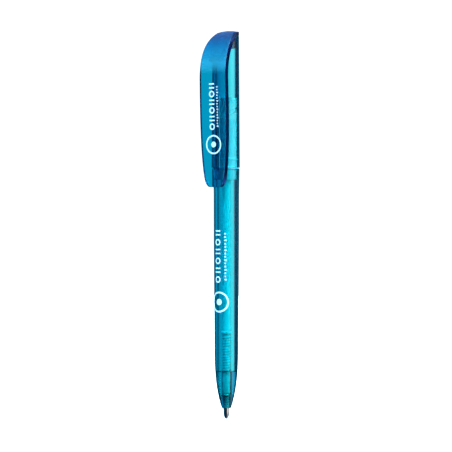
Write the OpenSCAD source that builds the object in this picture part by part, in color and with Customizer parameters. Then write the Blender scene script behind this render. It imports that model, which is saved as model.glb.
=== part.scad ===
// Twist-action gel pen with a wide sprung clip.
// Z runs up the pen's axis from the writing point at z = 0, and the clip is on the -Y side.
// Every piece is drawn with the point out, which is the rest position. Turning the cap
// anticlockwise, seen from its top, draws the refill in by "travel".

/* [Pen] */
// Height of the flat top above the writing point
pen_top = 142; // [141:0.1:143]
// Height of the barrel's top face, at the seam
seam_z = 91.5; // [91:0.1:92]
// Height of the nose's open end
nose_z = 4; // [3.8:0.1:4.2]

/* [Barrel] */
// Radius of the barrel at the seam
barrel_r = 4.84; // [4.8:0.01:4.88]
// Radius of the straight band that a pen loop or holder grips
band_r = 4.67; // [4.64:0.01:4.7]
// Radius of the barrel where the nose starts to close in
grip_r = 4.4; // [4.36:0.01:4.44]
// Length of the curved nose
nose_len = 26.7; // [26:0.1:27.4]
// Radius of the barrel's long bore
barrel_bore_r = 3.4; // [3.3:0.05:3.5]

/* [Cap] */
// Radius of the cap at the seam
cap_r = 4.96; // [4.92:0.01:5]
// Radius of the cap at its top
cap_top_r = 4.66; // [4.63:0.01:4.69]
// Radius of the cap's upper bore
cap_bore_r = 3.7; // [3.67:0.01:3.73]

/* [Clip] */
// Half of the clip's greatest width
clip_half_w = 6.04; // [5.96:0.02:6.1]
// Thickness of the clip
clip_t = 1.85; // [1.8:0.05:1.9]
// How far the clip's outer face stands from the pen's axis
clip_reach = 8.33; // [8.3:0.01:8.36]
// Height of the clip's lower end
clip_end_z = 84.7; // [84.4:0.1:85]

/* [Mechanism] */
// Turn of the cap from writing to retracted, in degrees
twist = 180; // [170:5:180]
// How far the refill is drawn in
travel = 5; // [4.8:0.1:5]
// Turns of the return spring
spring_turns = 15; // [12:1:16]

/* [Refill] */
// Length of the refill
refill_len = 107; // [106.5:0.1:107.2]
// Outer radius of the refill's tube
tube_r = 1.6; // [1.55:0.05:1.65]
// Radius of the ball
ball_r = 0.35; // [0.35:0.01:0.36]

/* [Hidden] */
$fn = 96;
overlap = 0.2;  // how far a joined shape or a cutter runs into its neighbour
run_gap = 0.05; // radial gap of a running fit
big = 20;       // larger than any cross-section of the pen

// barrel
nose_root_r = 1.7;     // where the nose's curve would meet its end face
nose_fullness = 3.3;   // exponent of the nose's curve
nose_round = 0.2;      // rounding of the nose's lip
nose_bore_r = 1.22;
nose_bore_top = 8.8;
guide_r = 1.5;         // bore that guides the tip holder
seat_z = 17.4;         // floor that the return spring stands on
seat_chamfer = 0.4;
band_z = [66, 82];
skirt_z = 87.5;        // lower end of the sleeve, inside the barrel
skirt_r = 3.7;

// sleeve and cap socket
flange_t = 0.4;
flange_r = 4.6;
sleeve_r = 3.8;
sleeve_bore_r = 2.95;
sleeve_top = 117.3;
shoulder_z = 117.6;    // where the cap's bore steps in
cap_z = seam_z + flange_t + run_gap;
socket_r = sleeve_r + run_gap;
snap_z = 95;           // snap bead that keeps the cap on the sleeve
snap_h = 0.12;
snap_half = 0.6;

// plunger and its helical slots
lug_r = 0.7;
lug_tip_r = 4.1;
lug_z = 110.3;
lug_gap = 0.08;
lug_angles = [-90, 90];
head_r = 2.85;
head_z = [109.3, 116.2];
head_notch = 1.6;      // depth of the V across the head's top
stem_r = 2.1;
stem_z = refill_len - 1.5;
keyway_r = lug_tip_r + 0.1;
slot_steps = 30;
slot_half_h = (lug_r + lug_gap) / cos(atan(travel * 180 / (PI * twist * sleeve_bore_r)));
slot_end = 16;         // degrees that a slot runs on past the lug's centre

// clip
flex_z = 129.7;        // the clip bends here, just under its web
flex_gap = 0.03;
web_z = 130.2;
web_half_w = 2;
roof_x = 0.74;         // the flat roof ends this far behind the axis
bend_z = pen_top - 18.6; // the clip is straight from here down
clip_lean = 1.1;       // how much nearer the axis its lower end is
spigot_r = cap_bore_r - 0.05;
spigot_wall = 0.6;
spigot_z = 135.5;
nub_z = 92;
nub_half_h = 3.6;
nub_half_w = 1.2;
nub_gap = 0.1;         // between the nub and the cap

// refill
collar_z = 31.4;       // the return spring pushes on this collar
collar_r = 2;
collar_t = 1;
holder_r = 1.38;
holder_z = 9.3;
tube_bore_r = 1.15;
spigot_top = 36;
ink_top = 88;
grease_top = 93;
plug_z = 103.5;
fluid_gap = 0.02;
channel_r = 0.6;
shank_r = 0.9;
shank_top = 13;
tip_r = 1.15;
cone_z = 3.6;
feed_r = 0.28;
socket_gap = 0.02;
spring_wire_r = 0.17;
spring_r = 1.7;

// ---- curves ----

// Point at t on the cubic curve through the four control points of p
function cubic(p, t) =
    pow(1 - t, 3) * p[0] + 3 * pow(1 - t, 2) * t * p[1]
    + 3 * (1 - t) * t * t * p[2] + pow(t, 3) * p[3];

// Points along a cubic curve, without its last one
function cubic_run(p, steps) = [for (i = [0 : steps - 1]) cubic(p, i / steps)];

function reversed(list) = [for (i = [len(list) - 1 : -1 : 0]) list[i]];

function unit(v) = v / norm(v);

// Points moved by d to the right of the way that the line runs
function beside(line, d) = [
    for (i = [0 : len(line) - 1])
        let (
            a = line[max(i - 1, 0)],
            b = line[min(i + 1, len(line) - 1)],
            along = unit(b - a)
        )
        line[i] + d * [along[1], -along[0]]
];

// ---- barrel ----

// Outer radius of the nose at height z
function nose_r(z) =
    nose_root_r
    + (grip_r - nose_root_r) * (1 - pow(1 - (z - nose_z) / nose_len, nose_fullness));

nose_outline = [
    for (i = [0 : 4])
        let (a = i * 15)
        [nose_r(nose_z) - nose_round + nose_round * sin(a), nose_z + nose_round * (1 - cos(a))],
    for (i = [1 : 18])
        let (z = nose_z + nose_len * pow(i / 18, 1.3))
        if (z > nose_z + nose_round) [nose_r(z), z]
];

module lower_barrel() {
    color("deepskyblue", 0.7)
    rotate_extrude()
    polygon(concat(nose_outline, [
        [band_r, band_z[0]],
        [band_r, band_z[1]],
        [barrel_r, seam_z],
        [skirt_r, seam_z],
        [skirt_r, skirt_z],
        [barrel_bore_r, skirt_z],
        [barrel_bore_r, seat_z + seat_chamfer],
        [barrel_bore_r - seat_chamfer, seat_z],
        [guide_r, seat_z],
        [guide_r, nose_bore_top],
        [nose_bore_r, nose_bore_top - 0.4],
        [nose_bore_r, nose_z]
    ]));
}

// ---- mechanism ----

// A ramp of rectangular section that winds round the axis: the path of one lug
module helical_slot(start) {
    from = -slot_end;
    to = twist + slot_end;
    rings = [
        for (i = [0 : slot_steps])
            let (
                a = from + (to - from) * i / slot_steps,
                z = lug_z + travel * a / twist
            )
            for (corner = [[2, 1], [5, 1], [5, -1], [2, -1]])
                [
                    corner[0] * cos(start + a),
                    corner[0] * sin(start + a),
                    z + corner[1] * slot_half_h
                ]
    ];
    sides = [
        for (i = [0 : slot_steps - 1])
            for (j = [0 : 3])
                let (
                    a = 4 * i + j,
                    b = 4 * i + (j + 1) % 4
                )
                each [[a, a + 4, b], [b, a + 4, b + 4]]
    ];
    last = 4 * slot_steps;
    polyhedron(rings, concat([[0, 1, 2], [0, 2, 3]], sides,
        [[last, last + 2, last + 1], [last, last + 3, last + 2]]));
}

module mechanism_sleeve() {
    color("white", 0.8)
    difference() {
        rotate_extrude()
        polygon([
            [skirt_r, skirt_z],
            [skirt_r, seam_z],
            [flange_r, seam_z],
            [flange_r, seam_z + flange_t],
            [sleeve_r, seam_z + flange_t],
            [sleeve_r, snap_z - snap_half],
            [sleeve_r + snap_h, snap_z],
            [sleeve_r, snap_z + snap_half],
            [sleeve_r, sleeve_top],
            [sleeve_bore_r, sleeve_top],
            [sleeve_bore_r, skirt_z]
        ]);
        for (a = lug_angles) helical_slot(a);
    }
}

module plunger() {
    color("white") {
        difference() {
            rotate_extrude()
            polygon([
                [0, refill_len],
                [tube_r + 0.1, refill_len],
                [tube_r + 0.1, stem_z],
                [stem_r, stem_z],
                [stem_r, head_z[0] - 0.5],
                [head_r, head_z[0]],
                [head_r, head_z[1]],
                [0, head_z[1]]
            ]);
            across([
                [-head_r - 1, head_z[1] + 1],
                [-head_r + 0.3, head_z[1]],
                [0, head_z[1] - head_notch],
                [head_r - 0.3, head_z[1]],
                [head_r + 1, head_z[1] + 1]
            ], big);
        }
        for (a = lug_angles)
            rotate([0, 90, a])
            translate([-lug_z, 0, head_r - 1])
            cylinder(r = lug_r, h = lug_tip_r - head_r + 1);
    }
}

// Round wire wound on radius r from z0 up to z1, with a flat turn at each end
module coil(r, wire, z0, z1, turns, per_turn, sides) {
    steps = turns * per_turn;
    low = z0 + wire;
    rise = z1 - z0 - 2 * wire;
    dead = per_turn; // steps in each flat end turn
    flat_pitch = 2.06 * wire;
    function coil_z(i) =
        i < dead ? low + flat_pitch * i / dead
        : i > steps - dead ? low + rise - flat_pitch * (steps - i) / dead
        : low + flat_pitch + (rise - 2 * flat_pitch) * (i - dead) / (steps - 2 * dead);
    rings = [
        for (i = [0 : steps])
            for (j = [0 : sides - 1])
                let (
                    turn = 360 * i / per_turn,
                    a = 360 * j / sides,
                    out = r + wire * cos(a)
                )
                [out * cos(turn), out * sin(turn), coil_z(i) + wire * sin(a)]
    ];
    skin = [
        for (i = [0 : steps - 1])
            for (j = [0 : sides - 1])
                let (
                    a = sides * i + j,
                    b = sides * i + (j + 1) % sides
                )
                each [[a, b, a + sides], [b, b + sides, a + sides]]
    ];
    polyhedron(rings, concat(
        [[for (j = [sides - 1 : -1 : 0]) j]],
        skin,
        [[for (j = [0 : sides - 1]) sides * steps + j]]
    ));
}

module return_spring() {
    color("silver")
    coil(spring_r, spring_wire_r, seat_z, collar_z, spring_turns, 16, 8);
}

// ---- cap and clip ----

// The clip's outer face, seen from the side as [distance in front of the axis, z],
// from the back of the flat roof to the lower end
clip_face = concat(
    [[-cap_top_r - overlap, pen_top]],
    cubic_run([
        [-roof_x, pen_top],
        [clip_reach - 1.79, pen_top - 3.57],
        [clip_reach + 0.35, pen_top - 11.2],
        [clip_reach, bend_z]
    ], 16),
    [[clip_reach, bend_z], [clip_reach - clip_lean, clip_end_z]]
);
clip_under = beside(clip_face, clip_t);

// Half of the clip's outline, seen from the front as [x, z], from the top to the lower end
clip_flank = concat(
    cubic_run([[0, pen_top], [1.5, pen_top], [3.5, pen_top], [3.9, pen_top - 0.7]], 6),
    cubic_run([
        [3.9, pen_top - 0.7],
        [clip_half_w + 0.06, pen_top - 4.6],
        [clip_half_w - 0.23, pen_top - 8.7],
        [clip_half_w, pen_top - 25]
    ], 10),
    cubic_run([
        [clip_half_w, pen_top - 25],
        [clip_half_w, clip_end_z + 18],
        [clip_half_w - 0.39, clip_end_z + 10.7],
        [clip_half_w - 1.26, clip_end_z + 4.9]
    ], 8),
    cubic_run([
        [clip_half_w - 1.26, clip_end_z + 4.9],
        [clip_half_w - 1.66, clip_end_z + 2.3],
        [clip_half_w - 2.3, clip_end_z],
        [clip_half_w - 4.3, clip_end_z]
    ], 8),
    [[clip_half_w - 4.3, clip_end_z]]
);

// How far the blade's inner face stands from the axis at height z
function blade_in(z) = clip_reach - clip_t - clip_lean * (bend_z - z) / (bend_z - clip_end_z);

nub_outline = concat(
    [[blade_in(nub_z) + 0.6, nub_z + nub_half_h]],
    cubic_run([
        [blade_in(nub_z + nub_half_h), nub_z + nub_half_h],
        [cap_r + nub_gap + 0.4, nub_z + 1.9],
        [cap_r + nub_gap, nub_z + 1.2],
        [cap_r + nub_gap, nub_z]
    ], 6),
    cubic_run([
        [cap_r + nub_gap, nub_z],
        [cap_r + nub_gap, nub_z - 1.2],
        [cap_r + nub_gap + 0.4, nub_z - 1.9],
        [blade_in(nub_z - nub_half_h), nub_z - nub_half_h]
    ], 6),
    [
        [blade_in(nub_z - nub_half_h), nub_z - nub_half_h],
        [blade_in(nub_z) + 0.6, nub_z - nub_half_h]
    ]
);

// Extrudes an outline drawn as [distance in front of the axis, z] across the pen
module across(outline, half_w) {
    rotate([90, 0, -90])
    linear_extrude(2 * half_w, center = true)
    polygon(outline);
}

// The clip's plate over its whole length, before it is split where it bends
module clip_plate() {
    intersection() {
        across(concat(clip_face, reversed(clip_under)), big);
        rotate([90, 0, 0])
        linear_extrude(2 * big, center = true)
        polygon(concat(clip_flank, [for (p = reversed(clip_flank)) [-p[0], p[1]]]));
        union() {
            cylinder(r = cap_top_r, h = pen_top + overlap);
            translate([-big, -big, 0])
            cube([2 * big, big, pen_top + overlap]);
        }
    }
}

// Everything on the inner side of the clip's plate, down to height z
module under_clip(z) {
    across(concat(
        [for (p = beside(clip_face, clip_t - overlap)) if (p[1] > z) p],
        [[clip_reach - clip_t, z], [-big, z], [-big, pen_top - clip_t]]
    ), big);
}

module above(z) {
    translate([-big, -big, z])
    cube([2 * big, 2 * big, pen_top]);
}

module clip_root() {
    color("dodgerblue", 0.8)
    union() {
        intersection() {
            clip_plate();
            above(flex_z);
        }
        difference() {
            intersection() {
                under_clip(web_z);
                translate([-web_half_w, -big, web_z])
                cube([2 * web_half_w, big - 3, pen_top]);
            }
            cylinder(r = cap_top_r + 0.05, h = pen_top);
        }
        intersection() {
            under_clip(spigot_z - 1);
            difference() {
                translate([0, 0, spigot_z])
                cylinder(r = spigot_r, h = pen_top - spigot_z);
                cylinder(r = spigot_r - spigot_wall, h = pen_top);
            }
        }
    }
}

module clip_blade() {
    color("dodgerblue", 0.8)
    union() {
        difference() {
            clip_plate();
            above(flex_z - flex_gap);
        }
        across(nub_outline, nub_half_w);
    }
}

module upper_barrel() {
    taper = (cap_r - cap_top_r) / (pen_top - cap_z);
    color("deepskyblue", 0.7)
    difference() {
        rotate_extrude()
        polygon([
            [socket_r, cap_z],
            [cap_r, cap_z],
            [cap_r - taper * (web_z - cap_z), web_z],
            [cap_top_r, pen_top],
            [cap_bore_r, pen_top],
            [cap_bore_r, shoulder_z],
            [socket_r, shoulder_z],
            [socket_r, snap_z + snap_half + 0.1],
            [socket_r + snap_h, snap_z],
            [socket_r, snap_z - snap_half - 0.1]
        ]);
        for (a = lug_angles)
            rotate(a)
            translate([0, -lug_r - lug_gap, cap_z - 1])
            cube([keyway_r, 2 * (lug_r + lug_gap), shoulder_z - cap_z + 1]);
        across(concat(clip_under, [
            [big, clip_end_z],
            [big, pen_top + big],
            [-big, pen_top + big],
            [-big, pen_top - clip_t]
        ]), big);
    }
}

// ---- refill ----

module tube_of(r_out, r_in, z0, z1) {
    difference() {
        translate([0, 0, z0])
        cylinder(r = r_out, h = z1 - z0);
        translate([0, 0, z0 - 1])
        cylinder(r = r_in, h = z1 - z0 + 2);
    }
}

module refill_tube() {
    color("whitesmoke")
    tube_of(tube_r, tube_bore_r, collar_z + collar_t, refill_len);
}

module gel_ink() {
    color("royalblue")
    rotate_extrude()
    polygon([
        [0, 2 * ball_r + fluid_gap],
        [feed_r - fluid_gap, 2 * ball_r + fluid_gap],
        [feed_r - fluid_gap, shank_top + fluid_gap],
        [channel_r - fluid_gap, shank_top + fluid_gap],
        [channel_r - fluid_gap, spigot_top + fluid_gap],
        [tube_bore_r - fluid_gap, spigot_top + fluid_gap],
        [tube_bore_r - fluid_gap, ink_top],
        [0, ink_top]
    ]);
}

module grease_plug() {
    color("khaki")
    translate([0, 0, ink_top + fluid_gap])
    cylinder(r = tube_bore_r - fluid_gap, h = grease_top - ink_top);
}

module tail_plug() {
    color("white")
    tube_of(tube_bore_r, 0.3, plug_z, refill_len);
}

module tip_holder() {
    color("whitesmoke")
    rotate_extrude()
    polygon([
        [shank_r, holder_z],
        [holder_r - 0.25, holder_z],
        [holder_r, holder_z + 0.6],
        [holder_r, collar_z],
        [collar_r, collar_z],
        [collar_r, collar_z + 0.5],
        [tube_r, collar_z + collar_t],
        [tube_bore_r, collar_z + collar_t],
        [tube_bore_r, spigot_top],
        [channel_r, spigot_top],
        [channel_r, shank_top],
        [shank_r, shank_top]
    ]);
}

module writing_tip() {
    lip_r = ball_r + 0.11;
    lip_z = ball_r - 0.15;
    color("lightgray")
    difference() {
        rotate_extrude()
        polygon([
            [0, lip_z],
            [lip_r - 0.05, lip_z],
            [lip_r, lip_z + 0.12],
            [0.74, 0.62],
            [0.95, 1.25],
            [1.07, 2],
            [1.13, 2.8],
            [tip_r, cone_z],
            [tip_r, holder_z],
            [shank_r, holder_z],
            [shank_r, shank_top],
            [0, shank_top]
        ]);
        translate([0, 0, ball_r])
        sphere(r = ball_r + socket_gap);
        translate([0, 0, ball_r])
        cylinder(r = feed_r, h = shank_top);
    }
}

module ball() {
    color("gray")
    translate([0, 0, ball_r])
    sphere(r = ball_r);
}

lower_barrel();
mechanism_sleeve();
return_spring();
upper_barrel();
clip_root();
clip_blade();
plunger();
refill_tube();
gel_ink();
grease_plug();
tail_plug();
tip_holder();
writing_tip();
ball();
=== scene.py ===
"""Gel pen: the looks, built on the CAD frame.

Shapes are written in millimetres in the frame's axes: Z runs up the pen's axis from the writing point,
and the clip is on the -Y side. mesh_object() turns them into metres.
"""
import math

import bmesh
import bpy
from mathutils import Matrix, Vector


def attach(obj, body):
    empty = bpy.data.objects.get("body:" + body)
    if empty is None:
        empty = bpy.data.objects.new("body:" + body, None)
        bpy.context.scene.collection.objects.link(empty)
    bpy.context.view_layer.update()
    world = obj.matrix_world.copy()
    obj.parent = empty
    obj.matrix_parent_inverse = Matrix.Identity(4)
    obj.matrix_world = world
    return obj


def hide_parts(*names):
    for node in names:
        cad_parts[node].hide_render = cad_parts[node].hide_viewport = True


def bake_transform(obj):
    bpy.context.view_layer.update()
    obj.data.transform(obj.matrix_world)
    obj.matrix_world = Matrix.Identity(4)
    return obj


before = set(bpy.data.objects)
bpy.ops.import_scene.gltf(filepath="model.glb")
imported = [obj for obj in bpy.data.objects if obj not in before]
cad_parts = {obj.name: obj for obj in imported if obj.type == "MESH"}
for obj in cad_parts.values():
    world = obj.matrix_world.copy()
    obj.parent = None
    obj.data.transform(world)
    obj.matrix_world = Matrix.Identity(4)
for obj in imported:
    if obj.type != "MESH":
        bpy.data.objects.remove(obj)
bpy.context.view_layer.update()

MM = 0.001
SHARP = 32  # degrees between two faces, past which their edge is sharp
WELD = 2e-7  # metres: points closer than this become one
PHOTO_AZIMUTH = 38.0  # the photo's middle view

# ---------------------------------------------------------------- sizes

TOP = 142.0  # the upper end of the pen
NOSE = 4.0  # the lower end of the barrel
SEAM = 91.5  # the upper end of the lower barrel
FLANGE_Z = SEAM + 0.2  # the middle of the sleeve's flange, which lies between the barrels
SEAT_Z = 17.42  # the floor that the spring stands on
COLLAR_Z = 31.4  # the underside of the tip holder's collar, which the spring presses on
HOLDER_Z = 9.3  # the lower end of the tip holder
STUB_Z = 13.0  # the upper end of the metal point, inside the tip holder

# ---------------------------------------------------------------- shapes


def lerp(a, b, t):
    return a + (b - a) * t


def table(points):
    """A function that interpolates between (x, y) points."""
    points = sorted(points)

    def value(x):
        if x <= points[0][0]:
            return points[0][1]
        for (x0, y0), (x1, y1) in zip(points, points[1:]):
            if x <= x1:
                return lerp(y0, y1, (x - x0) / max(x1 - x0, 1e-9))
        return points[-1][1]

    return value


def cubic(p, steps):
    """Points along a cubic curve, both ends included."""
    out = []
    for i in range(steps + 1):
        t = i / steps
        w = ((1 - t) ** 3, 3 * (1 - t) ** 2 * t, 3 * (1 - t) * t * t, t**3)
        out.append((sum(k * q[0] for k, q in zip(w, p)), sum(k * q[1] for k, q in zip(w, p))))
    return out


def rounded(points, radius, steps=4, turn=15):
    """A closed outline with its corners replaced by short curves.

    A third number on a point is its own radius. A corner that turns by less than turn degrees stays.
    """
    out = []
    for i, point in enumerate(points):
        p = Vector(point[:2])
        r = point[2] if len(point) > 2 else radius
        a = Vector(points[i - 1][:2]) - p
        b = Vector(points[(i + 1) % len(points)][:2]) - p
        if r == 0 or 180 - math.degrees(a.angle(b)) < turn:
            out.append(tuple(p))
            continue
        r = min(r, 0.45 * a.length, 0.45 * b.length)
        start, end = p + a.normalized() * r, p + b.normalized() * r
        for k in range(steps + 1):
            t = k / steps
            out.append(tuple(start * (1 - t) ** 2 + p * 2 * t * (1 - t) + end * t * t))
    return out


def grid(columns, wrap_rows=True, wrap_columns=True):
    """Vertices and faces of a skin over columns of points, all of one length."""
    n, m = len(columns), len(columns[0])
    verts = [v for column in columns for v in column]
    faces = []
    for j in range(n if wrap_columns else n - 1):
        for i in range(m if wrap_rows else m - 1):
            a, b = j * m + i, j * m + (i + 1) % m
            c, d = (j + 1) % n * m + (i + 1) % m, (j + 1) % n * m + i
            faces.append((a, b, c, d))
    return verts, faces


def mesh_object(name, verts, faces, sharp=SHARP):
    """A closed mesh from points in millimetres."""
    me = bpy.data.meshes.new(name)
    me.from_pydata([tuple(c * MM for c in v) for v in verts], [], faces)
    bm = bmesh.new()
    bm.from_mesh(me)
    bmesh.ops.remove_doubles(bm, verts=bm.verts, dist=WELD)
    bmesh.ops.dissolve_degenerate(bm, edges=bm.edges, dist=1e-8)
    bmesh.ops.recalc_face_normals(bm, faces=bm.faces)
    bm.to_mesh(me)
    bm.free()
    obj = bpy.data.objects.new(name, me)
    bpy.context.scene.collection.objects.link(obj)
    return shaded(obj, sharp)


def baked(obj):
    """Applies obj's modifiers to its mesh."""
    dg = bpy.context.evaluated_depsgraph_get()
    me = bpy.data.meshes.new_from_object(obj.evaluated_get(dg))
    old, name = obj.data, obj.data.name
    obj.modifiers.clear()
    obj.data = me
    bpy.data.meshes.remove(old)
    me.name = name
    return obj


def shaded(obj, sharp=SHARP):
    """Smooth shading with sharp edges by angle, where a large face keeps its own normal beside small ones."""
    obj.data.shade_smooth()
    obj.data.set_sharp_from_angle(angle=math.radians(sharp))
    m = obj.modifiers.new("normals", "WEIGHTED_NORMAL")
    m.mode, m.weight, m.keep_sharp = "FACE_AREA", 50, True
    return baked(obj)


def lathe(name, profile, closed=True, segments=144):
    """A solid of revolution from (radius, z) points: a closed outline, or a line from axis to axis."""
    columns = []
    for j in range(segments):
        a = math.tau * j / segments
        columns.append([(r * math.cos(a), r * math.sin(a), z) for r, z in profile])
    return mesh_object(name, *grid(columns, wrap_rows=closed))


WIRE_END = 0.55  # the width of a wire's end, as a share of the wire's


def tube_along(name, path, wire, sides=10):
    """A round wire of radius wire along a path of (x, y, z) points, closed at both ends."""
    columns = []
    n = len(path)
    pts = [Vector(p) for p in path]
    for i, p in enumerate(pts):
        along = (pts[min(i + 1, n - 1)] - pts[max(i - 1, 0)]).normalized()
        out = Vector((p.x, p.y, 0)).normalized()
        up = along.cross(out).normalized()
        out = up.cross(along).normalized()
        shrink = WIRE_END if i in (0, n - 1) else 1.0
        ring = []
        for k in range(sides):
            a = math.tau * k / sides
            ring.append(tuple(p + (out * math.cos(a) + up * math.sin(a)) * wire * shrink))
        columns.append(ring)
    verts, faces = grid(columns, wrap_columns=False)
    faces.append(tuple(range(sides)))
    faces.append(tuple(range((n - 1) * sides, n * sides)))
    return mesh_object(name, verts, faces, sharp=50)


def bevel(obj, width):
    """Rounds obj's edges, where two faces meet at 40 degrees or more."""
    m = obj.modifiers.new("round", "BEVEL")
    m.width, m.segments = width * MM, 3
    m.limit_method, m.angle_limit = "ANGLE", math.radians(40)
    return baked(obj)


def combine(obj, other, how):
    """The union or difference of two closed meshes as one mesh."""
    m = obj.modifiers.new("combine", "BOOLEAN")
    m.operation, m.solver, m.object = how, "EXACT", other
    baked(obj)
    bpy.data.objects.remove(other)
    return obj


# ---------------------------------------------------------------- materials


def add_node(tree, kind, **settings):
    """A new node with its settings, such as operation or blend_type."""
    node = tree.nodes.new(kind)
    for key, value in settings.items():
        setattr(node, key, value)
    return node


def feed(tree, socket, value):
    """Links value to socket where it is a socket too, and sets it as a plain value where it isn't."""
    if isinstance(value, bpy.types.NodeSocket):
        tree.links.new(value, socket)
    else:
        socket.default_value = value


def math_node(tree, operation, *values):
    node = add_node(tree, "ShaderNodeMath", operation=operation)
    for socket, value in zip(node.inputs, values):
        feed(tree, socket, value)
    return node.outputs[0]


def ramp(tree, factor, stops):
    """A colour that changes with factor, from (position, red, green, blue) stops."""
    node = add_node(tree, "ShaderNodeValToRGB")
    elements = node.color_ramp.elements
    elements.remove(elements[1])
    elements[0].position = stops[0][0]
    elements[0].color = (*stops[0][1:], 1)
    for position, *colour in stops[1:]:
        elements.new(position).color = (*colour, 1)
    tree.links.new(factor, node.inputs["Fac"])
    return node.outputs["Color"]


def mix(tree, factor, first, second, blend_type="MIX"):
    """The first colour, with the second one laid over it as far as factor says."""
    node = add_node(tree, "ShaderNodeMixRGB", blend_type=blend_type)
    for socket, value in zip(node.inputs, (factor, first, second)):
        feed(tree, socket, value)
    return node.outputs[0]


def span(tree, value, low, high, to_low=0.0, to_high=1.0, **settings):
    """value, stretched so that low to high becomes to_low to to_high."""
    node = add_node(tree, "ShaderNodeMapRange", **settings)
    node.inputs["From Min"].default_value, node.inputs["From Max"].default_value = low, high
    node.inputs["To Min"].default_value, node.inputs["To Max"].default_value = to_low, to_high
    tree.links.new(value, node.inputs["Value"])
    return node.outputs["Result"]


WHITE = (1, 1, 1, 1)
RAMP_TOP = 200.0  # the height in millimetres at which a ramp over the height ends


class Nodes:
    """A material with a Principled shader, and short ways to add procedural detail to it."""

    def __init__(self, name, **values):
        self.material = bpy.data.materials.new(name)
        self.material.use_nodes = True
        self.tree = self.material.node_tree
        self.tree.nodes.clear()
        self.out = self.add("ShaderNodeOutputMaterial")
        self.shader = self.add("ShaderNodeBsdfPrincipled")
        self.link(self.shader.outputs[0], self.out.inputs["Surface"])
        for key, value in values.items():
            self.shader.inputs[key.replace("_", " ")].default_value = value
        place = self.add("ShaderNodeTexCoord")
        self.coordinates, self.normal = place.outputs["Object"], place.outputs["Normal"]

    def add(self, kind, **settings):
        return add_node(self.tree, kind, **settings)

    def link(self, a, b):
        self.tree.links.new(a, b)

    def noise(self, scale, stretch=(1, 1, 1), detail=3.0):
        """Noise in the frame's metres: scale is per metre along an axis with stretch 1."""
        mapping = self.add("ShaderNodeMapping")
        mapping.inputs["Scale"].default_value = stretch
        self.link(self.coordinates, mapping.inputs["Vector"])
        node = self.add("ShaderNodeTexNoise")
        for key, value in (("Scale", scale), ("Detail", detail), ("Roughness", 0.55)):
            node.inputs[key].default_value = value
        self.link(mapping.outputs[0], node.inputs["Vector"])
        return node.outputs["Fac"]

    def colour(self, factor, low, high, start=0.3, end=0.7):
        self.link(ramp(self.tree, factor, [(start, *low), (end, *high)]), self.shader.inputs["Base Color"])

    def cover(self, colour, factor=1.0, blend_type="MIX"):
        """Lays a colour over the base colour, all over or where factor says."""
        base = self.shader.inputs["Base Color"]
        self.link(mix(self.tree, factor, base.links[0].from_socket, colour, blend_type), base)

    def multiply(self, colour, factor=1.0):
        self.cover(colour, factor, "MULTIPLY")

    def paint_edge_shade(self, edge_shade):
        """Painted shade: darkens the base colour where glass is seen at a glancing angle, standing in for the
        dark edges that refraction gives, and in part for the deeper tint along the longer path through its
        wall.
        """
        glancing = self.add("ShaderNodeLayerWeight")
        glancing.inputs["Blend"].default_value = 0.5
        edge_shade_colour = (edge_shade, edge_shade, edge_shade * 1.5)
        self.multiply(ramp(self.tree, glancing.outputs["Facing"], [(0.36, 1, 1, 1), (0.51, *edge_shade_colour)]))

    def part(self, vector, axis):
        """The X, Y or Z of a vector."""
        split = self.add("ShaderNodeSeparateXYZ")
        self.link(vector, split.inputs[0])
        return split.outputs[axis]

    def by_height(self, stops):
        """A colour that changes with the height in millimetres, from (height, red, green, blue) stops."""
        height = math_node(self.tree, "MULTIPLY", self.part(self.coordinates, "Z"), 1 / (RAMP_TOP * MM))
        return ramp(self.tree, height, [(z / RAMP_TOP, *colour) for z, *colour in stops])

    def facing_out(self):
        """1 where the surface faces up or away from the axis on the clip's side, 0 elsewhere."""
        dot = self.add("ShaderNodeVectorMath", operation="DOT_PRODUCT")
        dot.inputs[1].default_value = (0, -0.7, 0.7)
        self.link(self.normal, dot.inputs[0])
        return span(self.tree, dot.outputs["Value"], 0.25, 0.5)

    def paint_flank_shade(self, tint):
        """White, but a dark colour where the surface faces left or right: painted shade on the flanks, and in
        part the deeper tint of looking in along the whole width there.
        """
        side = math_node(self.tree, "ABSOLUTE", self.part(self.normal, "X"))
        return ramp(self.tree, side, [(0.55, 1, 1, 1), (0.9, *tint)])

    def rough(self, factor, low, high):
        self.link(span(self.tree, factor, 0.3, 0.7, low, high), self.shader.inputs["Roughness"])
        return self

    def bump(self, height, depth, strength):
        """depth is in millimetres."""
        node = self.add("ShaderNodeBump")
        node.inputs["Strength"].default_value = strength
        node.inputs["Distance"].default_value = depth * MM
        self.link(height, node.inputs["Height"])
        self.link(node.outputs["Normal"], self.shader.inputs["Normal"])
        return self

    def absorb(self, colour, density):
        node = self.add("ShaderNodeVolumeAbsorption")
        node.inputs["Color"].default_value = (*colour, 1)
        node.inputs["Density"].default_value = density
        self.link(node.outputs[0], self.out.inputs["Volume"])
        return self


# Tints by height, as (height, red, green, blue).
NOSE_TINT = [
    (0, 1, 0.36, 0.38),
    (8.4, 1, 0.36, 0.38),
    (9.6, 1, 0.82, 0.78),
    (15, 1, 0.9, 0.87),
    (22, 1, 1, 1),
]
CLIP_TINT = [
    (0, 1, 1, 1),
    (126, 1, 1, 1),
    (132, 0.1, 0.33, 0.42),
    (137, 0.05, 0.18, 0.32),
    (141, 0.04, 0.26, 0.46),
]
CLIP_CLARITY = [(0, 1, 1, 1), (126, 1, 1, 1), (132, 0.55, 0.55, 0.55)]  # the transmission, on the outer face
# the dark colour of the painted shade on the clip's flanks
FLANK_SHADE = (0.08, 0.16, 0.34)
HEAD_BAND = [(0, 0, 0, 0), (109.2, 0, 0, 0), (109.9, 1, 1, 1), (115, 1, 1, 1), (115.6, 0, 0, 0)]


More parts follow.
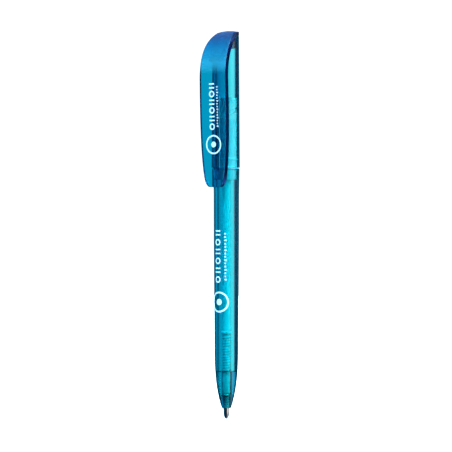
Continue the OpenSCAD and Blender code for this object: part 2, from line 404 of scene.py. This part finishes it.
def clear_plastic(name, low, high, absorb, density, edge_shade=0.03):
    """Tinted clear plastic, with faint flow marks and the slight waviness of a moulding."""
    n = Nodes(name, IOR=1.5, Transmission_Weight=1.0)
    n.colour(n.noise(220, (1, 1, 0.12), 2.0), low, high)
    # painted shade: the base colour is darker where the plastic is seen at a glancing angle
    n.paint_edge_shade(edge_shade)
    n.rough(n.noise(900, (1, 1, 0.3), 2.0), 0.035, 0.07)
    n.bump(n.noise(70, (1, 1, 0.35), 0.0), 0.02, 0.1)
    return n.absorb(absorb, density)


def barrel_material():
    """The clear plastic of the lower barrel, whose tint is deeper in the thick walls of its nose."""
    low, high = (0.05, 0.935, 0.985), (0.07, 0.95, 0.995)
    n = clear_plastic("tinted_barrel", low, high, (0.0, 0.97, 0.98), 1900.0)
    n.multiply(n.by_height(NOSE_TINT))
    return n.material


def cap_material():
    low, high = (0.42, 0.975, 0.99), (0.46, 0.985, 0.997)
    return clear_plastic("tinted_cap", low, high, (0.6, 0.965, 0.99), 1900.0).material


def clip_material():
    """The clip's plastic: cloudy and deeper on its outer face near the top, with painted shade on its flanks
    and its glancing edges.
    """
    low, high = (0.05, 0.68, 0.855), (0.065, 0.70, 0.87)
    n = clear_plastic("tinted_clip", low, high, (0.0, 0.94, 0.968), 2400.0, edge_shade=0.35)
    outside = n.facing_out()
    clarity = mix(n.tree, outside, WHITE, n.by_height(CLIP_CLARITY))
    n.link(clarity, n.shader.inputs["Transmission Weight"])
    n.multiply(n.by_height(CLIP_TINT), outside)
    n.multiply(n.paint_flank_shade(FLANK_SHADE))
    return n.material


def milky_plastic(name, low, high, roughness, scale=700):
    n = Nodes(name, IOR=1.48)
    n.colour(n.noise(scale, (1, 1, 0.2)), low, high)
    n.rough(n.noise(scale * 2), roughness * 0.85, roughness * 1.15)
    return n.bump(n.noise(scale * 4), 0.01, 0.3).material


def sleeve_material():
    """Milky, tinted plastic: white where the plunger's head shows through it, and darker in the flange."""
    n = Nodes("milky_sleeve", IOR=1.48, Transmission_Weight=0.05)
    n.colour(n.noise(700, (1, 1, 0.2)), (0.30, 0.94, 0.98), (0.38, 0.97, 1.0))
    n.cover(WHITE, n.by_height(HEAD_BAND))
    flange = math_node(n.tree, "COMPARE", n.part(n.coordinates, "Z"), FLANGE_Z * MM, 0.3 * MM)
    n.cover((0.02, 0.45, 0.58, 1), flange)
    n.rough(n.noise(1400), 0.3, 0.42)
    return n.bump(n.noise(2800), 0.01, 0.3).material


def turned_metal(name, low, high, roughness, rings=5200):
    """Metal with the fine rings that a lathe leaves round the Z axis."""
    n = Nodes(name, Metallic=1.0)
    fine = n.noise(60, (0.02, 0.02, rings / 60), 2.0)
    n.colour(fine, low, high, 0.2, 0.8)
    n.rough(fine, roughness * 0.8, roughness * 1.3)
    return n.bump(fine, 0.006, 0.6).material


BARREL, CAP, CLIP = barrel_material(), cap_material(), clip_material()
SLEEVE = sleeve_material()
PLUNGER = milky_plastic("white_plunger", (0.90, 0.93, 0.94), (0.96, 0.97, 0.97), 0.3)
TUBE = milky_plastic("milky_tube", (0.84, 0.90, 0.92), (0.90, 0.94, 0.95), 0.3)
HOLDER = milky_plastic("milky_holder", (0.80, 0.88, 0.90), (0.86, 0.92, 0.94), 0.35)
PLUG = milky_plastic("tail_plug_plastic", (0.86, 0.88, 0.88), (0.92, 0.93, 0.93), 0.45, scale=1100)
STEEL = turned_metal("spring_wire", (0.50, 0.51, 0.53), (0.66, 0.67, 0.69), 0.3, 900)
NICKEL = turned_metal("point_metal", (0.58, 0.55, 0.52), (0.80, 0.77, 0.73), 0.16)
CARBIDE = turned_metal("ball_carbide", (0.36, 0.36, 0.37), (0.46, 0.46, 0.47), 0.18, 9000)


def ink_material():
    n = Nodes("gel_ink", IOR=1.36, Coat_Weight=0.6, Coat_Roughness=0.08)
    n.colour(n.noise(420, (1, 1, 0.25), 4.0), (0.006, 0.030, 0.200), (0.012, 0.055, 0.300))
    return n.rough(n.noise(900), 0.12, 0.22).material


def grease_material():
    n = Nodes("grease", IOR=1.45, Transmission_Weight=0.35)
    n.colour(n.noise(800, (1, 1, 0.6), 4.0), (0.66, 0.64, 0.46), (0.78, 0.76, 0.60))
    return n.rough(n.noise(1200), 0.2, 0.4).bump(n.noise(1500), 0.02, 0.4).material


def print_material():
    """Screen-printed white: a slightly uneven, matt film."""
    n = Nodes("white_print", IOR=1.5)
    n.colour(n.noise(2600, detail=4.0), (0.34, 0.50, 0.56), (0.42, 0.58, 0.64))
    return n.rough(n.noise(3000), 0.4, 0.6).bump(n.noise(4200), 0.004, 0.5).material


INK, GREASE, PRINT = ink_material(), grease_material(), print_material()


def dress(obj, material):
    obj.data.materials.clear()
    obj.data.materials.append(material)


def piece(obj, material, body, slot=None, *stands_for):
    """Finishes a new piece: its material and the body it rides on, and, where a slot name is given, hides the
    nodes it stands for.
    """
    dress(obj, material)
    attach(obj, body)
    if slot:
        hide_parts(*stands_for)


# ---------------------------------------------------------------- lower barrel

NOSE_LENGTH = 26.7
NOSE_R, NOSE_SWELL = 1.69, 2.7  # the radius at the nose's end, and how much it grows


def nose_heights(count):
    """Heights up the nose, closest together near its end."""
    return [NOSE + NOSE_LENGTH * (i / count) ** 1.4 for i in range(1, count + 1)]


def nose_radius(z):
    return NOSE_R + NOSE_SWELL * (1 - (1 - (z - NOSE) / NOSE_LENGTH) ** 3.3)


SEAM_R = 4.83
UPPER_WALL = [(43.6, 4.49), (58.2, 4.59), (66.0, 4.64), (74.0, 4.655), (82.0, 4.67), (SEAM, SEAM_R)]
OUTER = table([(NOSE, 1.64)] + [(z, nose_radius(z)) for z in nose_heights(40)] + UPPER_WALL)


def lower_barrel():
    """The outside from the nose up, and the stepped bore back down."""
    # the radii of the bore round the point, the holder, the spring and the sleeve
    guide, channel, bore, pocket = 1.24, 1.5, 3.4, 3.72
    guide_top, pocket_floor = 8.4, 87.5
    outside = [(OUTER(z), z) for z in nose_heights(26) + [36, 43.6, 52, 58.2, 66, 74, 82, 87]]
    inside = [
        (pocket, SEAM, 0.1),
        (pocket, pocket_floor),
        (bore, pocket_floor),
        (bore, 24.0),
        (bore, SEAT_Z + 0.28, 0.06),
        (3.2, SEAT_Z, 0.04),
        (channel, SEAT_Z, 0.04),
        (channel, guide_top + 0.45, 0.1),
        (guide, guide_top, 0.1),
    ]
    profile = [(guide, NOSE), (1.60, NOSE)] + outside + [(SEAM_R, SEAM, 0.12)] + inside
    return lathe("barrel_shell", rounded(profile, 0.1))


piece(lower_barrel(), BARREL, "barrel", "barrel_plastic", "lower_barrel")

# ---------------------------------------------------------------- clip curves

CLIP_T = 1.85  # the thickness of the clip's plate
END_Z = 84.7  # its lower end
STRAIGHT_Z = 123.4  # it is flat from here down
BACK_R = 4.64  # the radius of its root, round the pen's axis
WIDE_Z, TAPER_Z = 117, 89.6  # where it is widest, and where its rounded end begins
FACE = (
    [(-4.83, TOP)]
    + cubic([(-0.74, TOP), (6.54, 138.43), (8.68, 130.8), (8.33, STRAIGHT_Z)], 40)
    + [(7.23, END_Z)]
)
FLANK = cubic([(3.9, 141.3), (6.10, 137.4), (5.81, 133.3), (6.04, WIDE_Z)], 40)
LOW_FLANK = (
    cubic([(6.04, WIDE_Z), (6.04, 102.7), (5.65, 95.4), (4.78, TAPER_Z)], 20)
    + cubic([(4.78, TAPER_Z), (4.38, 87.0), (3.74, END_Z), (1.74, END_Z)], 16)[1:]
)


def inward(line, depth):
    """line moved into the clip's plate by depth."""
    out = []
    for i, p in enumerate(line):
        a, b = line[max(i - 1, 0)], line[min(i + 1, len(line) - 1)]
        t = Vector((b[0] - a[0], b[1] - a[1])).normalized()
        out.append((p[0] + t.y * depth, p[1] - t.x * depth))
    return out


UNDER = inward(FACE, CLIP_T)
# the distances of the face and the underside from the axis, and half the clip's width, at a height
FACE_OUT = table([(z, f) for f, z in FACE[1:]])
UNDER_OUT = table([(z, f) for f, z in UNDER[1:]])
HALF_WIDTH = table([(z, w) for w, z in FLANK])
# the underside's height at a distance from the axis
UNDER_Z = table([p for p in UNDER if p[1] > STRAIGHT_Z + 1])

# ---------------------------------------------------------------- upper barrel

CAP_BORE = 3.7
CAP_LOW_R, CAP_TOP_R = 4.94, 4.65
KEYWAYS = (90, 270)  # the angles round the axis of the two keyways
KEYWAY_EDGE, KEYWAY_WALL = 11.69, 10.52  # the angles from a keyway's middle to its outer and its inner corner


def upper_barrel():
    """The tube with its slanted top, keyways and stepped bore, as columns of points round the axis."""
    low, shoulder, waist = SEAM + 0.45, 117.6, 116
    snap = 95.0  # the height of the groove for the sleeve's snap bead
    socket_r, keyway_r = 3.85, 4.2
    clear = 12.6  # the plain columns keep this many degrees from a keyway's middle
    angles = [a for a in range(0, 360, 2) if min(abs(a - k) for k in KEYWAYS) > clear]
    columns = [(a, False) for a in angles]
    for middle in KEYWAYS:
        columns += [(middle + s * KEYWAY_EDGE, False) for s in (-1, 1)]
        columns += [(middle + s * d, True) for s in (-1, 1) for d in (KEYWAY_WALL, 5.5)] + [(middle, True)]
    out = []
    for angle, key in sorted(columns):
        a = math.radians(angle)
        off = min(abs(angle - k) for k in KEYWAYS)
        socket = keyway_r / math.cos(math.radians(off)) if key else socket_r
        groove = 0.0 if key else 0.05

        def outer(z):
            return lerp(CAP_LOW_R, CAP_TOP_R, (z - low) / (TOP - low))

        z_out, z_in = (UNDER_Z(-r * math.sin(a)) - 0.07 for r in (CAP_TOP_R, CAP_BORE))
        profile = [(outer(low), low, 0.12)]
        profile += [(outer(z), z) for z in (lerp(low, waist, k / 6) for k in range(1, 7))]
        profile += [(outer(z), z) for z in (lerp(waist, z_out, k / 6) for k in range(1, 6))]
        profile += [(outer(z_out), z_out, 0.12), (CAP_BORE, z_in, 0.08)]
        profile += [(CAP_BORE, lerp(z_in, shoulder, k / 5)) for k in range(1, 5)]
        profile += [(CAP_BORE, shoulder, 0.04), (socket, shoulder, 0.04)]
        profile += [(socket, z) for z in (112, 106, 100, snap + 0.7)]
        profile += [(socket + groove, snap), (socket, snap - 0.7), (socket, 93), (socket, low, 0.08)]
        points = rounded(profile, 0.1, turn=-1, steps=3)
        out.append([(r * math.cos(a), r * math.sin(a), z) for r, z in points])
    return mesh_object("cap_shell", *grid(out))


piece(upper_barrel(), CAP, "cap", "cap_plastic", "upper_barrel")

# ---------------------------------------------------------------- clip


def clip_plate():
    """The clip's plate: strips round its bend and one flat face on each side of the blade."""
    arch_z = 141  # the top is arched across the pen above this height
    arch = table([(0, TOP), (2.36, 141.91), (3.33, 141.7), (3.9, 141.45)])
    across = (-1.0, -0.7, 0.0, 0.7, 1.0)
    rows = []
    for beta in (72, 62, 52, 43, 34, 24):
        f = -BACK_R * math.sin(math.radians(beta))
        rows.append(((f, TOP), (f, TOP - CLIP_T)))
    rows += [(o, i) for o, i in zip(FACE[1:-1], UNDER[1:-1])]
    verts, faces = [], []
    for outside, inside in rows:
        for f, z in (outside, inside):
            w = HALF_WIDTH(z)
            if f < 0:
                w = min(w, math.sqrt(BACK_R**2 - f * f))
            for u in across:
                top = min(z, arch(abs(u) * w)) if z > arch_z else z
                verts.append((u * w, -f, top))
    n = len(across)
    for r in range(len(rows) - 1):
        a, b = r * 2 * n, (r + 1) * 2 * n
        for k in range(n - 1):
            faces.append((a + k, a + k + 1, b + k + 1, b + k))
            faces.append((a + n + k, b + n + k, b + n + k + 1, a + n + k + 1))
        faces.append((a, b, b + n, a + n))
        faces.append((a + n - 1, a + 2 * n - 1, b + 2 * n - 1, b + n - 1))
    faces += [(k, k + n, k + n + 1, k + 1) for k in range(n - 1)]
    last = (len(rows) - 1) * 2 * n
    outline = [p for p in FLANK if p[1] < STRAIGHT_Z - 0.3] + LOW_FLANK[1:]
    base = len(verts)
    m = len(outline)
    for side in (-1, 1):
        for w, z in outline:
            verts.append((side * w, -FACE_OUT(z), z))
            inner_z = z + (UNDER[-1][1] - END_Z) * (STRAIGHT_Z - z) / (STRAIGHT_Z - END_Z)
            verts.append((side * w, -(FACE_OUT(z) - CLIP_T), inner_z))
    for layer, top in ((0, last), (1, last + n)):
        left = [base + 2 * k + layer for k in range(m)]
        right = [base + 2 * (m + k) + layer for k in range(m)]
        faces.append(tuple([top + k for k in range(n - 1, -1, -1)] + left + right[::-1]))
    for start, top in ((base, last), (base + 2 * m, last + n - 1)):
        chain = [top] + [start + 2 * k for k in range(m)]
        under = [top + n] + [start + 2 * k + 1 for k in range(m)]
        faces += [(chain[k], chain[k + 1], under[k + 1], under[k]) for k in range(m)]
    faces.append((base + 2 * m - 2, base + 4 * m - 2, base + 4 * m - 1, base + 2 * m - 1))
    return bevel(mesh_object("clip", verts, faces), 0.22)


def prism(name, outline, half, round_by=0.0):
    """outline is (distance in front of the axis, z), extruded across the pen."""
    n = len(outline)
    verts = [(x, -f, z) for x in (-half, half) for f, z in outline]
    faces = [tuple(range(n)), tuple(range(2 * n - 1, n - 1, -1))]
    faces += [(k, (k + 1) % n, n + (k + 1) % n, n + k) for k in range(n)]
    obj = mesh_object(name, verts, faces)
    return bevel(obj, round_by) if round_by else obj


def web():
    """The web under the bend, fitted round the upper barrel."""
    low, cap_r = 130.2, 4.72
    back = [p for p in inward(FACE, CLIP_T - 0.3) if p[1] > low and p[0] > 1.2]
    obj = prism("web", [(1.2, low), (UNDER_OUT(low) + 0.3, low)] + back[::-1], 2.0)
    room = lathe("web_cutter", [(0, 120), (cap_r, 120), (cap_r, 145), (0, 145)], closed=False)
    return combine(obj, room, "DIFFERENCE")


def plug():
    """The short tube that sits in the upper barrel's bore."""
    outer, inner, low = 3.63, 3.06, 135.5
    columns = []
    for j in range(144):
        a = math.tau * j / 144
        z_out, z_in = (UNDER_Z(-r * math.sin(a)) + 0.3 for r in (outer, inner))
        wall = [(outer, low, 0.2), (outer, z_out, 0), (inner, z_in, 0), (inner, low, 0.2)]
        ring = rounded(wall, 0.2, turn=-1)
        columns.append([(r * math.cos(a), r * math.sin(a), z) for r, z in ring])
    return mesh_object("plug", *grid(columns))


def nub():
    """The bump near the blade's lower end that presses on the pocket."""
    middle, half, reach = 92.0, 3.6, 5.07
    top, low = middle + half, middle - half
    crest, steps = (reach, middle), 8
    above = [(UNDER_OUT(top), top), (reach + 0.4, middle + 1.9), (reach, middle + 1.2), crest]
    below = [crest, (reach, middle - 1.2), (reach + 0.4, middle - 1.9), (UNDER_OUT(low), low)]
    face = cubic(above, steps) + cubic(below, steps)[1:]
    sunk = UNDER_OUT(middle) + 0.6
    return prism("nub", [(sunk, top)] + face + [(sunk, low)], 1.2, 0.25)


def clip():
    obj = clip_plate()
    for part in (web, plug, nub):
        combine(obj, part(), "UNION")
    return shaded(obj)


clip_object = clip()
dress(clip_object, CLIP)
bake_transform(clip_object)
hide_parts("clip_root", "clip_blade")

# ---------------------------------------------------------------- printing

SUNK, RAISED = -0.01, 0.02  # the heights of a printed film's two faces over the surface
BAR_STEP = 0.3  # about how far apart a bar's points are, so that it follows a round surface


class Film:
    """Thin printed shapes laid on a surface. place(u, v, h) gives the point h above the surface at (u, v)."""

    def __init__(self, place):
        self.place, self.verts, self.faces = place, [], []

    def skin(self, columns, closed):
        """Adds a closed skin over columns of four or more points, with end caps where it isn't a ring."""
        verts, faces = grid([[self.place(*p) for p in c] for c in columns], wrap_columns=closed)
        if not closed:
            faces += [(0, 1, 2, 3), tuple(len(verts) - 4 + k for k in range(4))]
        base = len(self.verts)
        self.verts += verts
        self.faces += [tuple(base + k for k in f) for f in faces]

    def bar(self, u0, u1, v0, v1):
        n = max(2, round((u1 - u0) / BAR_STEP))
        columns = []
        for k in range(n + 1):
            u = lerp(u0, u1, k / n)
            columns.append([(u, v0, SUNK), (u, v1, SUNK), (u, v1, RAISED), (u, v0, RAISED)])
        self.skin(columns, False)

    def ring(self, u, v, inner, outer):
        columns, sides = [], 56
        for k in range(sides):
            c, s = math.cos(math.tau * k / sides), math.sin(math.tau * k / sides)
            section = [(inner, SUNK), (outer, SUNK)] + [(lerp(outer, inner, i / 4), RAISED) for i in range(5)]
            columns.append([(u + r * c, v + r * s, h) for r, h in section])
        self.skin(columns, True)

    def object(self, name):
        return mesh_object(name, self.verts, self.faces, sharp=40)


def on_clip(u, v, h):
    return (u, -(FACE_OUT(v) + h), v)


def on_barrel(u, v, h):
    r = OUTER(v) + h
    a = -math.pi / 2 + u / OUTER(v)
    return (r * math.cos(a), r * math.sin(a), v)


def mark(film, centre, size, middle, top, bottom, fine):
    """Plain shapes that stand in for the printing: a ring with a dot, a row of shapes and a row of dashes.

    centre and size are the ring's height and radius. The rows run from bottom to top, at middle and at fine.
    """
    film.ring(0.1, centre, size * 0.84, size)
    film.ring(0.1, centre, 0.0, size * 0.3)
    shapes, half = 6, 1.15
    pitch = (top - bottom) / shapes
    for k in range(shapes):
        v = bottom + (k + 0.5) * pitch
        if k % 2:
            film.bar(middle - half, middle + half, v - 0.95, v - 0.45)
            film.bar(middle - half, middle + half, v + 0.45, v + 0.95)
        else:
            film.ring(middle, v, 0.72, 1.2)
    dashes = 15
    step = (top - bottom - 2.5) / dashes
    for k in range(dashes):
        v = bottom + 1.4 + k * step
        film.bar(fine, fine + (0.55 if k % 3 else 0.8), v, v + step * 0.42)
    return film


clip_mark = mark(Film(on_clip), centre=100.2, size=3.5, middle=-0.4, top=123.0, bottom=105.2, fine=1.75)
piece(clip_mark.object("clip_print"), PRINT, "clip")
barrel_mark = mark(Film(on_barrel), centre=42.9, size=3.8, middle=-0.4, top=69.8, bottom=49.4, fine=2.35)
piece(barrel_mark.object("barrel_print"), PRINT, "barrel")

# ---------------------------------------------------------------- refill, spring and point


def coil(r, wire, z0, z1, turns, per_turn):
    """The path of a compression spring with a flat turn at each end, as per_turn points for each turn."""
    flat, path = 2.06 * wire, []
    steps, dead = turns * per_turn, per_turn
    low, rise = z0 + wire, z1 - z0 - 2 * wire
    for i in range(steps + 1):
        if i < dead:
            z = low + flat * i / dead
        elif i > steps - dead:
            z = low + rise - flat * (steps - i) / dead
        else:
            z = low + flat + (rise - 2 * flat) * (i - dead) / (steps - 2 * dead)
        a = math.tau * i / per_turn
        path.append((r * math.cos(a), r * math.sin(a), z))
    return path


WIRE_R = 0.165
SPRING_PATH = coil(r=1.7, wire=0.17, z0=SEAT_Z + 0.1, z1=COLLAR_Z - 0.02, turns=15, per_turn=32)
spring = tube_along("spring_coil", SPRING_PATH, WIRE_R)
dress(spring, STEEL)
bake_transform(spring)
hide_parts("return_spring")

TUBE_R, TUBE_BORE = 1.6, 1.15
TUBE_LOW, TUBE_TOP = COLLAR_Z + 1.0, 107
tube_outside = [(TUBE_R, z) for z in (TUBE_LOW, 50, 70, 90, TUBE_TOP)]
tube_profile = [(TUBE_BORE, TUBE_LOW)] + tube_outside + [(TUBE_BORE, TUBE_TOP)]
tube = lathe("tube_body", rounded(tube_profile, 0.1), segments=72)
piece(tube, TUBE, "refill", "refill_plastic", "refill_tube")

HOLDER_R, STUB_R, HOLDER_TOP = 1.37, 0.9, 36.0
HOLDER_OUTSIDE = [
    (STUB_R, HOLDER_Z),
    (1.12, HOLDER_Z, 0.05),
    (HOLDER_R, HOLDER_Z + 0.6, 0.1),
    (HOLDER_R, 13.2),
    (HOLDER_R - 0.04, 13.35),
    (HOLDER_R - 0.04, 13.65),
    (HOLDER_R, 13.8),
    (HOLDER_R, COLLAR_Z, 0.12),
    (1.98, COLLAR_Z, 0.08),
    (1.98, 31.9, 0.1),
    (1.62, TUBE_LOW - 0.02, 0.05),
    (TUBE_BORE, TUBE_LOW - 0.02),
    (TUBE_BORE, HOLDER_TOP, 0.1),
]
HOLDER_INSIDE = [(0.6, HOLDER_TOP, 0.06), (0.6, STUB_Z, 0.05), (STUB_R, STUB_Z, 0.03)]
holder = lathe("holder_body", rounded(HOLDER_OUTSIDE + HOLDER_INSIDE, 0.06), segments=72)
piece(holder, HOLDER, "refill", "holder_plastic", "tip_holder")

SOCKET_R, BALL_Z = 0.37, 0.35  # the ball's socket and its middle
POINT_R, FEED_R = 1.14, 0.27


def socket_arc():
    """The inside of the point's socket, from the lip up to the feed bore."""
    out = []
    for k in range(7):
        a = math.radians(lerp(-23, 40, k / 6))
        out.append((SOCKET_R * math.cos(a), BALL_Z + SOCKET_R * math.sin(a), 0))
    return out


FEED = [(FEED_R, 0.75), (FEED_R, STUB_Z)]
STUB = [(STUB_R, STUB_Z), (STUB_R, HOLDER_Z)]
SHANK = [(POINT_R, HOLDER_Z), (POINT_R, 4.6), (1.1, 4.5), (1.1, 4.3), (POINT_R, 4.2), (POINT_R, 3.65)]
CONE = [(1.125, 2.85), (1.065, 2.03), (0.94, 1.27), (0.80, 0.80), (0.72, 0.63)]
LIP = [(0.46, 0.33), (0.375, 0.21, 0.02)]
point = lathe("point_body", rounded(socket_arc() + FEED + STUB + SHANK + CONE + LIP, 0.12), segments=96)
piece(point, NICKEL, "refill", "tip_metal", "writing_tip")

CARRIED = {
    "mechanism_sleeve": SLEEVE,
    "plunger": PLUNGER,
    "gel_ink": INK,
    "grease_plug": GREASE,
    "tail_plug": PLUG,
    "ball": CARBIDE,
}
for name, material in CARRIED.items():
    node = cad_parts[name]
    dress(node, material)
    node.data.shade_smooth()
    node.data.set_sharp_from_angle(angle=math.radians(SHARP))

# ---------------------------------------------------------------- stage


def floor(material):
    """A plain floor under the pen, which neither shows through the plastic nor reflects in it."""
    half, z = 3.0, -0.06  # in metres
    corners = [(-half, -half, z), (half, -half, z), (half, half, z), (-half, half, z)]
    me = bpy.data.meshes.new("floor")
    me.from_pydata(corners, [], [(0, 1, 2, 3)])
    obj = bpy.data.objects.new("floor", me)
    bpy.context.scene.collection.objects.link(obj)
    dress(obj, material)
    obj.visible_transmission = False
    obj.visible_glossy = False


pale = Nodes(
    "pale_floor",
    Base_Color=(0.95, 0.95, 0.95, 1),
    Roughness=0.6,
    Specular_IOR_Level=0.0,
    Emission_Color=WHITE,
    Emission_Strength=0.5,
)
floor(pale.material)

# The room round the pen at its own height, as (angle, red, green, blue): a large softbox in front to the
# right, white behind and a dim cool wall on the left. The angle is in degrees to the right of the photo's
# camera, as seen from the pen.
WALLS = [
    (0, 0.01, 0.01, 0.02),
    (16, 0.06, 0.06, 0.07),
    (38, 0.7, 0.7, 0.7),
    (50, 1.25, 1.25, 1.25),
    (68, 1.6, 1.6, 1.6),
    (80, 1.3, 1.3, 1.3),
    (94, 0.2, 0.2, 0.24),
    (104, 0.02, 0.05, 0.09),
    (126, 0.01, 0.03, 0.08),
    (137, 0.02, 0.06, 0.13),
    (144, 0.03, 0.12, 0.22),
    (151, 0.07, 0.36, 0.50),
    (160, 0.3, 0.66, 0.80),
    (170, 0.8, 0.9, 0.95),
    (175, 1.0, 1.0, 1.0),
    (180, 0.6, 0.68, 0.8),
    (187, 0.15, 0.36, 0.56),
    (198, 0.08, 0.34, 0.50),
    (212, 0.04, 0.42, 0.66),
    (232, 0.03, 0.36, 0.60),
    (256, 0.02, 0.30, 0.52),
    (276, 0.02, 0.06, 0.12),
    (300, 0.01, 0.01, 0.02),
]
# The same above it, which lights the parts inside, and below it.
CEILING = [
    (0, 4.2, 5.0, 6.0),
    (50, 7.4, 7.7, 8.0),
    (80, 5.5, 5.7, 6.0),
    (98, 0.5, 0.6, 0.8),
    (140, 0.05, 0.14, 0.26),
    (175, 0.35, 0.5, 0.7),
    (210, 0.32, 0.5, 0.78),
    (260, 0.1, 0.9, 1.9),
    (300, 0.3, 1.8, 3.0),
    (330, 1.6, 3.2, 4.4),
    (359.5, 4.2, 5.0, 6.0),
]
BELOW = [
    (0, 0.02, 0.03, 0.06),
    (30, 0.06, 0.08, 0.12),
    (60, 0.5, 0.55, 0.6),
    (100, 0.3, 0.4, 0.5),
    (160, 0.2, 0.4, 0.5),
    (200, 0.05, 0.15, 0.25),
    (250, 0.01, 0.04, 0.09),
    (300, 0.01, 0.02, 0.05),
]


def white_room():
    """A studio that shines as WALLS, CEILING and BELOW say, while the camera itself sees plain white."""
    world = bpy.data.worlds.new("white_room")
    world.use_nodes = True
    tree = world.node_tree
    tree.nodes.clear()
    split = add_node(tree, "ShaderNodeSeparateXYZ")
    tree.links.new(add_node(tree, "ShaderNodeTexCoord").outputs["Generated"], split.inputs[0])
    x, y, z = split.outputs
    turn = math_node(tree, "ARCTAN2", x, math_node(tree, "MULTIPLY", y, -1.0))
    turn = math_node(tree, "DIVIDE", turn, math.tau)
    turn = math_node(tree, "FRACT", math_node(tree, "ADD", turn, 1.0 - PHOTO_AZIMUTH / 360))

    def around(colours):
        return ramp(tree, turn, [(angle / 360, *colour) for angle, *colour in colours])

    colour = around(WALLS)
    for colours, side in ((CEILING, 1), (BELOW, -1)):
        rise = span(tree, z, side * 0.13, side * 0.4, interpolation_type="SMOOTHSTEP")
        colour = mix(tree, rise, colour, around(colours))
    walls = add_node(tree, "ShaderNodeBackground")
    tree.links.new(colour, walls.inputs["Color"])
    plain = add_node(tree, "ShaderNodeBackground")
    plain.inputs["Color"].default_value, plain.inputs["Strength"].default_value = WHITE, 1.2
    choose = add_node(tree, "ShaderNodeMixShader")
    is_camera = add_node(tree, "ShaderNodeLightPath").outputs["Is Camera Ray"]
    for socket, value in zip(choose.inputs, (is_camera, walls.outputs[0], plain.outputs[0])):
        tree.links.new(value, socket)
    tree.links.new(choose.outputs[0], add_node(tree, "ShaderNodeOutputWorld").inputs["Surface"])
    return world


scene = bpy.context.scene
scene.world = white_room()
scene.view_settings.view_transform = "Standard"
scene.view_settings.look = "None"

CAMERA_DISTANCE = 0.9186
CENTRE_Z = 0.0706  # the height that the camera looks at
azimuth = math.radians(PHOTO_AZIMUTH)
optics = bpy.data.cameras.new("camera")
optics.lens, optics.sensor_width = 200, 36
optics.clip_start, optics.clip_end = 0.05, 20
optics.shift_x = -0.000885  # the pen stands slightly to the right of the middle
camera = bpy.data.objects.new("camera", optics)
camera.location = (CAMERA_DISTANCE * math.sin(azimuth), -CAMERA_DISTANCE * math.cos(azimuth), CENTRE_Z)
camera.rotation_euler = (math.radians(90), 0, azimuth)
scene.collection.objects.link(camera)
scene.camera = camera
